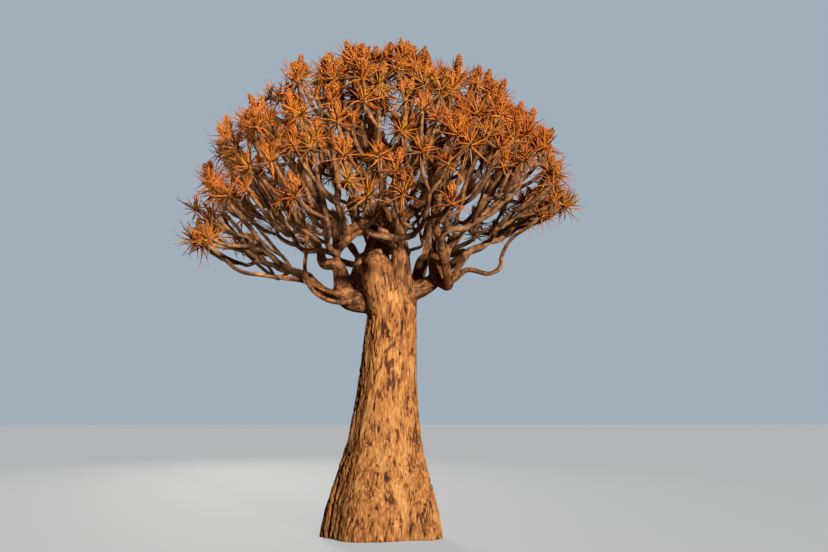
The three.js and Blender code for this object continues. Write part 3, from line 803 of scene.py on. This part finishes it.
# Smooth noise from -1 to 1, one unit between its lattice points
def smooth_noise(points, seed):
    size = 32
    lattice = np.random.default_rng(seed).uniform(-1, 1, (size, size, size))
    cell = np.floor(points).astype(int)
    share = smoothstep(0, 1, points - cell)
    total = np.zeros(len(points))
    for corner in np.ndindex(2, 2, 2):
        weight = np.prod(np.where(corner, share, 1 - share), axis=1)
        total += weight * lattice[tuple(((cell + corner) % size).T)]
    return total


# Distances to the nearest and second nearest of scattered points, and the nearest's own number
def plates(points, seed):
    size = 32
    scattered = np.random.default_rng(seed).random((size, size, size, 4))
    cell = np.floor(points).astype(int)
    first = np.full(len(points), 9.0)
    second = first.copy()
    number = np.zeros(len(points))
    for corner in np.ndindex(3, 3, 3):
        near = cell + corner - 1
        found = scattered[tuple((near % size).T)]
        distance = np.linalg.norm(near + found[:, :3] - points, axis=1)
        closer = distance < first
        second = np.where(closer, first, np.minimum(second, distance))
        number = np.where(closer, found[:, 3], number)
        first = np.where(closer, distance, first)
    return first, second, number


# Noise of the bark by its name, or another pattern
def bark_noise(local, name, pattern=smooth_noise):
    across, along, seed = BARK_NOISES[name]
    return pattern(local / np.array([across, across, along]), seed)


# Scars on the trunk's front: two ends, each right and up, half the width, the depth
SCARS = [
    ((20, 2180), (140, 2300), 20, 16),
    ((118, 2010), (124, 2095), 17, 26),
    ((252, 1975), (256, 2055), 13, 22),
    ((205, 2150), (212, 2175), 14, 16),
    ((60, 1160), (75, 1215), 20, 20),
    ((-120, 1490), (-105, 1560), 17, 20),
    ((-640, -20), (-600, 320), 20, 30),
    ((-600, 320), (-525, 690), 17, 26),
]


# Relief of old bark in millimetres, and how pale it is from 0 to 1: wavy ropes, short cracks, fine
# streaks, lumps and pits
def old_bark(local):
    local = local + bark_noise(local, "wander")[:, None] * np.array([22, 22, 0])
    ropes, streak, lumps = (bark_noise(local, name) for name in ("ropes", "streak", "lumps"))
    rough = smoothstep(-0.35, 0.35, bark_noise(local, "rough"))
    broken = smoothstep(0.0, 0.35, bark_noise(local, "broken") + 0.25 * rough)
    crack = (1 - smoothstep(0.02, 0.17, np.abs(bark_noise(local, "crack")))) * broken
    pit_at, _, pit_kind = bark_noise(local, "pits", plates)
    pit = (1 - smoothstep(0.1, 0.34, pit_at)) * (pit_kind > lerp(0.88, 0.52, rough))
    stain = smoothstep(0.15, 0.5, bark_noise(local, "stain")) * lerp(0.5, 1, rough)
    height = 9 * ropes - 15 * crack + 4 * streak + 7 * lumps * lerp(0.3, 1, rough) - 14 * pit
    pale = 0.72 + 0.08 * ropes + 0.12 * streak + 0.1 * lumps * lerp(0.4, 1, rough)
    pale = pale - 0.5 * crack - 0.37 * pit - 0.1 * stain - 0.1 * rough
    return height, np.clip(pale, 0, 1)


# How deep the scars cut, from 0 to their depth, and how dark they are
def scarred(points):
    depth, dark = np.zeros(len(points)), np.zeros(len(points))
    seen = points[:, [0, 2]]
    for start, end, half_width, deepest in SCARS:
        start, span = np.array(start, float), np.subtract(end, start).astype(float)
        share = np.clip((seen - start) @ span / (span @ span), 0, 1)
        away = np.linalg.norm(seen - start - share[:, None] * span, axis=1)
        away += 0.4 * half_width * smooth_noise(points / 22, 14)
        cut = (1 - smoothstep(0.35 * half_width, half_width, away)) * (points[:, 1] < -100)
        depth = np.maximum(depth, cut * deepest)
        dark = np.maximum(dark, cut)
    return depth, dark


# Relief of a limb's younger bark: rings, shallow folds along it, and a few flakes
def young_bark(local):
    folds, rings = (bark_noise(local, name) for name in ("folds", "rings"))
    first, second, number = bark_noise(local, "flakes", plates)
    flake = 1 - smoothstep(0.0, 0.14, second - first)
    height = 3.2 * folds + 1.6 * rings - 3 * flake + 2.5 * (number - 0.5)
    pale = 0.5 + 0.25 * folds + 0.12 * rings - 0.35 * flake + 0.3 * (number - 0.5)
    return height, np.clip(pale, 0, 1)


# A mesh as a modifier with these settings leaves it
def modified(mesh, kind, **settings):
    made = placed("modified", mesh)
    modifier = made.modifiers.new(kind, kind)
    for name, value in settings.items():
        setattr(modifier, name, value)
    result = bpy.data.meshes.new_from_object(made.evaluated_get(bpy.context.evaluated_depsgraph_get()))
    bpy.data.objects.remove(made)
    return result


# Three numbers for each vertex, such as "co" for its place or "normal"
def of_vertices(mesh, name):
    values = np.zeros(len(mesh.vertices) * 3, np.float32)
    mesh.vertices.foreach_get(name, values)
    return values.reshape(-1, 3).astype(float)


# For each point, the nearest sample of a centre line, by its distance to the limb's surface
def nearest_samples(points, samples):
    tree = kdtree.KDTree(len(samples["centre"]))
    for i, centre in enumerate(samples["centre"]):
        tree.insert(centre, i)
    tree.balance()
    radius = samples["radius"]
    best = np.zeros(len(points), int)
    for i, point in enumerate(points):
        best[i] = min((distance - radius[at], at) for _, at, distance in tree.find_n(point, 5))[1]
    return best


# Values of neighbouring vertices brought closer together
def evened(mesh, values, rounds):
    ends = np.zeros(len(mesh.edges) * 2, np.int32)
    mesh.edges.foreach_get("vertices", ends)
    a, b = ends.reshape(-1, 2).T
    count = np.bincount(a, minlength=len(values)) + np.bincount(b, minlength=len(values))
    for _ in range(rounds):
        total = np.bincount(a, values[b], len(values)) + np.bincount(b, values[a], len(values))
        values = (values + total / np.maximum(count, 1)) / 2
    return values


# Gives the skin of the wood its relief, and stores how old and how pale the bark is
def carve_bark(mesh, samples):
    points = of_vertices(mesh, "co") / MM
    at = nearest_samples(points, samples)
    out = points - samples["centre"][at]
    ways = ("normal", "across", "along")
    local = np.stack([np.einsum("ij,ij->i", out, samples[way][at]) for way in ways], 1)
    to_tip = smoothstep(*TIP_FADE, samples["to_tip"][at] - local[:, 2])
    local[:, 2] += samples["place"][at]
    age = evened(mesh, smoothstep(*OLD_BARK_RADII, samples["radius"][at]), AGE_EVENINGS)
    old_height, old_pale = old_bark(local)
    young_height, young_pale = young_bark(local)
    depth, dark = scarred(points)
    height = evened(mesh, lerp(young_height * to_tip, old_height, age) - depth, 1)
    moved = points + of_vertices(mesh, "normal") * height[:, None]
    mesh.vertices.foreach_set("co", (moved * MM).astype(np.float32).ravel())
    pale = lerp(young_pale, old_pale, age) * (1 - SCARS_DARKEN * dark)
    for name, values in (("age", age), ("pale", pale)):
        stored = mesh.attributes.new(name, "FLOAT", "POINT")
        stored.data.foreach_set("value", values.astype(np.float32))
    mesh.update()


# The mesh above the ground, closed by a flat cut
def cut_at_ground(mesh):
    work = bmesh.new()
    work.from_mesh(mesh)
    geometry = [*work.verts, *work.edges, *work.faces]
    ground = {"plane_co": (0, 0, 0), "plane_no": (0, 0, -1)}
    cut = bmesh.ops.bisect_plane(work, geom=geometry, clear_outer=True, **ground)
    edges = [part for part in cut["geom_cut"] if isinstance(part, bmesh.types.BMEdge)]
    bmesh.ops.triangle_fill(work, edges=edges, use_beauty=True)
    bmesh.ops.recalc_face_normals(work, faces=work.faces)
    work.to_mesh(mesh)
    work.free()


# The part of a mesh whose faces are old bark, or the rest, with the whole mesh's normals
def part_by_age(mesh, old, name):
    part = mesh.copy()
    part.name = name
    work = bmesh.new()
    work.from_mesh(part)
    age = work.verts.layers.float["age"]
    unwanted = [face for face in work.faces if (max(vertex[age] for vertex in face.verts) > 0.5) != old]
    whole = {vertex: vertex.normal.copy() for vertex in work.verts}
    bmesh.ops.delete(work, geom=unwanted, context="FACES")
    normals = [whole[vertex] for vertex in work.verts]
    work.to_mesh(part)
    work.free()
    part.shade_smooth()
    part.normals_split_custom_set_from_vertices(normals)
    return part


# Materials

def new_material(name, roughness, color=None):
    material = bpy.data.materials.new(name)
    material.use_nodes = True
    shader = material.node_tree.nodes["Principled BSDF"]
    shader.inputs["Roughness"].default_value = roughness
    shader.inputs["Specular IOR Level"].default_value = 0.3
    if color:
        shader.inputs["Base Color"].default_value = (*color, 1)
        material.diffuse_color = (*color, 1)
    return material, material.node_tree, shader


# A node with settings, whose sockets each take a value or another node's output
def add_node(tree, kind, sockets=(), **settings):
    made = tree.nodes.new(f"ShaderNode{kind}")
    for name, value in settings.items():
        setattr(made, name, value)
    for name, value in dict(sockets).items():
        if isinstance(value, bpy.types.NodeSocket):
            tree.links.new(value, made.inputs[name])
        else:
            made.inputs[name].default_value = value
    return made


# Places on the tree, in metres times the stretch
def stretched_places(tree, stretch, places=None):
    places = places or add_node(tree, "TexCoord").outputs["Object"]
    return add_node(tree, "Mapping", {"Vector": places, "Scale": stretch}).outputs["Vector"]


def noise_node(tree, stretch, detail, scale=1.0):
    sockets = {"Vector": stretched_places(tree, stretch), "Scale": scale, "Detail": detail}
    return add_node(tree, "TexNoise", sockets).outputs["Fac"]


# Thin wandering lines round cells, longer where the stretch is smaller: 1 on a line, 0 off it
def cracks_node(tree, stretch, width):
    places = add_node(tree, "TexCoord").outputs["Object"]
    wander = add_node(tree, "TexNoise", {"Vector": places, "Scale": 9}).outputs["Color"]
    bent = add_node(tree, "VectorMath", {0: wander, 1: (0.05,) * 3, 2: places},
                    operation="MULTIPLY_ADD").outputs[0]
    cells = {"Vector": stretched_places(tree, stretch, bent), "Scale": 1}
    edge = add_node(tree, "TexVoronoi", cells, feature="DISTANCE_TO_EDGE").outputs["Distance"]
    line = {"Value": edge, "From Max": width, "To Min": 1, "To Max": 0}
    return add_node(tree, "MapRange", line).outputs["Result"]


def ramp_node(tree, value, stops):
    made = add_node(tree, "ValToRGB", {"Fac": value})
    elements = made.color_ramp.elements
    while len(elements) < len(stops):
        elements.new(0.5)
    for element, (position, color) in zip(elements, stops):
        element.position = position
        element.color = (*color, 1) if isinstance(color, tuple) else (color, color, color, 1)
    return made.outputs["Color"]


def math_node(tree, operation, *values):
    return add_node(tree, "Math", enumerate(values), operation=operation).outputs[0]


def mix_node(tree, share, first, second, blend="MIX"):
    sockets = {0: share, 6: first, 7: second}
    return add_node(tree, "Mix", sockets, data_type="RGBA", blend_type=blend).outputs[2]


def add_bump(tree, shader, height, strength, distance):
    sockets = {"Height": height, "Strength": strength, "Distance": distance}
    tree.links.new(add_node(tree, "Bump", sockets).outputs["Normal"], shader.inputs["Normal"])


# Colours of bark from its darkest tone to its palest
OLD_BARK = [
    (0.0, (0.036, 0.010, 0.003)), (0.25, (0.120, 0.037, 0.009)), (0.5, (0.330, 0.118, 0.027)),
    (0.72, (0.530, 0.232, 0.064)), (1.0, (0.740, 0.420, 0.170)),
]
YOUNG_BARK = [
    (0.0, (0.030, 0.011, 0.004)), (0.35, (0.165, 0.061, 0.019)), (0.6, (0.345, 0.139, 0.047)),
    (1.0, (0.575, 0.266, 0.100)),
]
# Twig colours: the twigs' own brown, darkened further as painted shade of the crown's inside
TWIG_BARK_AND_SHADE = [(0.45, (0.060, 0.023, 0.009)), (0.68, (0.180, 0.075, 0.028)), (0.95, (0.380, 0.185, 0.078))]


# Bark, golden and peeling where old, brown and smoother where young
def bark_material(name):
    material, tree, shader = new_material(name, 0.75)
    pale, age = (add_node(tree, "Attribute", attribute_name=stored).outputs["Fac"]
                 for stored in ("pale", "age"))
    streaks = noise_node(tree, (64, 64, 9), 4)
    tone = math_node(tree, "MULTIPLY_ADD", streaks, 0.95, pale)
    broken = ramp_node(tree, noise_node(tree, (9, 9, 5), 2), [(0.48, 0), (0.64, 0.5)])
    flaking = math_node(tree, "MULTIPLY", cracks_node(tree, (32, 32, 3.4), 0.14), broken)
    tone = math_node(tree, "SUBTRACT", tone, math_node(tree, "ADD", flaking, 0.49))
    color = mix_node(tree, age, ramp_node(tree, tone, YOUNG_BARK), ramp_node(tree, tone, OLD_BARK))
    patches = noise_node(tree, (1, 1, 0.7), 2, scale=2.3)
    dull = ramp_node(tree, patches, [(0.35, (0.74, 0.66, 0.60)), (0.65, 1)])
    tree.links.new(mix_node(tree, 0.5, color, dull, "MULTIPLY"), shader.inputs["Base Color"])
    tree.links.new(ramp_node(tree, streaks, [(0.3, 0.7), (0.7, 0.92)]), shader.inputs["Roughness"])
    add_bump(tree, shader, noise_node(tree, (90, 90, 12), 4), 0.7, 0.009)
    return material


# Tan twigs, ringed by the scars of old leaves, with their colours darkened throughout as painted shade of
# the crown's inside
def twig_material_with_painted_shade():
    material, tree, shader = new_material("twig_bark_and_painted_shade", 0.7)
    mottle = noise_node(tree, (1, 1, 1), 3, scale=18)
    rings = noise_node(tree, (8, 8, 55), 2)
    tone = math_node(tree, "MULTIPLY_ADD", rings, 0.45, mottle)
    tree.links.new(ramp_node(tree, tone, TWIG_BARK_AND_SHADE), shader.inputs["Base Color"])
    add_bump(tree, shader, rings, 0.4, 0.004)
    return material


def plain_materials(kind, tints, roughness):
    return [new_material(f"{kind}_{name}", roughness, color)[0] for name, color in tints.items()]


# The tree

boughs = [made for sector in SECTORS for made in sector_boughs(sector)] + top_boughs()
sprigs = [{"name": name, "curve": spline(points), "radii": SPRIG_RADII} for name, points in SPRIGS.items()]


def build_wood():
    wood = Gathered()
    wood.add(*trunk_shell())
    stump = {"curve": spline(STUMP_POINTS), "radii": STUMP_RADII}
    samples = [trunk_samples()]
    for number, made in enumerate([stump, *boughs, *sprigs], 1):
        curve, radii = made["curve"], made["radii"]
        steps, sides = (STUMP_STEPS, STUMP_SIDES) if made is stump else (BOUGH_STEPS, BOUGH_SIDES)
        wood.add(*tube(*sections(curve, radii, steps * (len(radii) - 1)), sides))
        samples.append(outside_trunk(line_samples(curve, radii, number, made is not stump)))
    samples = {key: np.concatenate([part[key] for part in samples]) for key in samples[0]}
    # One skin round closed forms that run into each other
    mesh = modified(wood.mesh("wood"), "REMESH", mode="VOXEL", voxel_size=VOXEL * MM)
    mesh = modified(mesh, "SMOOTH", factor=SMOOTHING, iterations=SMOOTHINGS)
    carve_bark(mesh, samples)
    cut_at_ground(mesh)
    mesh.calc_loop_triangles()
    mesh = modified(mesh, "DECIMATE", ratio=BARK_TRIANGLES / len(mesh.loop_triangles))
    names = [f"bough_{made['name']}" for made in [*boughs, *sprigs]]
    for name, old, bark, slot, nodes in (
        ("trunk_skin", True, "peeling_bark", "trunk_bark", ["trunk"]),
        ("bough_skin", False, "limb_bark", "limb_bark", names),
    ):
        piece(name, part_by_age(mesh, old, name), [bark_material(bark)], nodes)


# Pieces of foliage, each for some of the crown's masses
PARTS = {"left": ("left", "rear_left"), "right": ("right", "rear_right"), "front": ("front", "top")}


def sprig_mass(sprig):
    end = tangent(sprig["curve"], 1)
    start = sprig["curve"](1)
    tip = start + end * SPRIG_STEM
    line = lambda share: lerp(start, tip, share)
    limb = {"curves": [line], "radii": [SPRIG_RADII[-1], TWIG_RADIUS * TIP_THICKER]}
    return {"limbs": [limb], "tips": [(tip, end)]}


def foliage_piece(name, gathered, materials, masses):
    piece(name, gathered.mesh(name), materials, [f"foliage_{mass}" for mass in masses])


def build_foliage():
    masses = {made["name"]: mass_of(seed, made) for seed, made in enumerate(boughs)}
    masses.update({sprig["name"]: sprig_mass(sprig) for sprig in sprigs})
    leaf_materials = plain_materials("leaf", LEAF_TINTS, 0.55)
    bud_materials = plain_materials("bud", BUD_TINTS, 0.65)
    twigs = Gathered()
    for found in masses.values():
        for i, limb in enumerate(found["limbs"]):
            twigs.add(*twig_tube(limb, i == 0))
    foliage_piece("twigs", twigs, [twig_material_with_painted_shade()], masses)
    faces = leaf_faces()
    for part, starts in PARTS.items():
        names = [name for name in masses if name.startswith(starts)]
        tips, axes = map(np.array, zip(*(tip for name in names for tip in masses[name]["tips"])))
        leaves = rosette_leaves(tips, axes)
        blades = Gathered()
        blades.add_many(leaf_points(leaves), faces, leaf_tints(leaves, faces))
        foliage_piece(f"leaves_{part}", blades, leaf_materials, names)
        heads = Gathered()
        gather_heads(heads, tips, axes)
        foliage_piece(f"flower_heads_{part}", heads, bud_materials, names)


# The studio

CAMERA_AT = (0.0, -11.0, 1.55)
CAMERA_TURN = 2.02  # degrees to the right of +Y
CAMERA_RISE = 8.34
FOCAL_LENGTH = 38.26
SENSOR_WIDTH = 36
WORLD_LIGHT = (0.010, 0.011, 0.012)
BACKDROP = (0.36, 0.43, 0.50)
FLOOR_COLOR = (0.022, 0.021, 0.020)
FLOOR_GLOW = (0.45, 0.455, 0.46)
FLOOR_WIDTH = 120
SUN = (1.0, 0.94, 0.84)
# Place, target, size, power, spread and colour
LIGHTS = {
    "key": ((13.2, -27.0, 9.2), (-2.2, 0, 4.0), 1.8, 1870, 60, SUN),
    "left": ((-11.0, -24.0, 6.0), (-2.1, 0, 4.4), 1.5, 17, 11, SUN),
    "back": ((-5.0, 20.0, 7.0), (0, 0, 3.4), 5.0, 850, 90, (1.0, 0.96, 0.90)),
}


def build_camera():
    data = bpy.data.cameras.new("camera")
    data.lens = FOCAL_LENGTH
    data.sensor_width = SENSOR_WIDTH
    camera = placed("camera", data)
    camera.location = CAMERA_AT
    camera.rotation_euler = (math.radians(90 + CAMERA_RISE), 0, math.radians(-CAMERA_TURN))
    scene.camera = camera


def area_light(name, place, target, size, power, spread, color):
    data = bpy.data.lights.new(name, "AREA")
    data.size = size
    data.energy = power
    data.spread = math.radians(spread)
    data.color = color
    light = placed(name, data)
    light.location = place
    light.rotation_euler = (Vector(target) - Vector(place)).to_track_quat("-Z", "Y").to_euler()


# A world that lights the tree faintly and shows as a pale backdrop
def studio_world():
    world = bpy.data.worlds.new("studio")
    world.use_nodes = True
    tree = world.node_tree
    seen = add_node(tree, "LightPath").outputs["Is Camera Ray"]
    color = mix_node(tree, seen, (*WORLD_LIGHT, 1), (*BACKDROP, 1))
    tree.links.new(color, tree.nodes["Background"].inputs["Color"])
    return world


# A plain pale floor that throws back little light
def floor_material():
    material, tree, shader = new_material("floor", 0.9, FLOOR_COLOR)
    seen = add_node(tree, "LightPath").outputs["Is Camera Ray"]
    shader.inputs["Emission Color"].default_value = (*FLOOR_GLOW, 1)
    tree.links.new(seen, shader.inputs["Emission Strength"])
    return material


def build_studio():
    scene.view_settings.view_transform = "Standard"
    for name, light in LIGHTS.items():
        area_light(name, *light)
    scene.world = studio_world()
    bpy.ops.mesh.primitive_plane_add(size=FLOOR_WIDTH)
    floor = bpy.context.object
    floor.name = "floor"
    floor.data.materials.append(floor_material())


build_wood()
build_foliage()
build_camera()
build_studio()
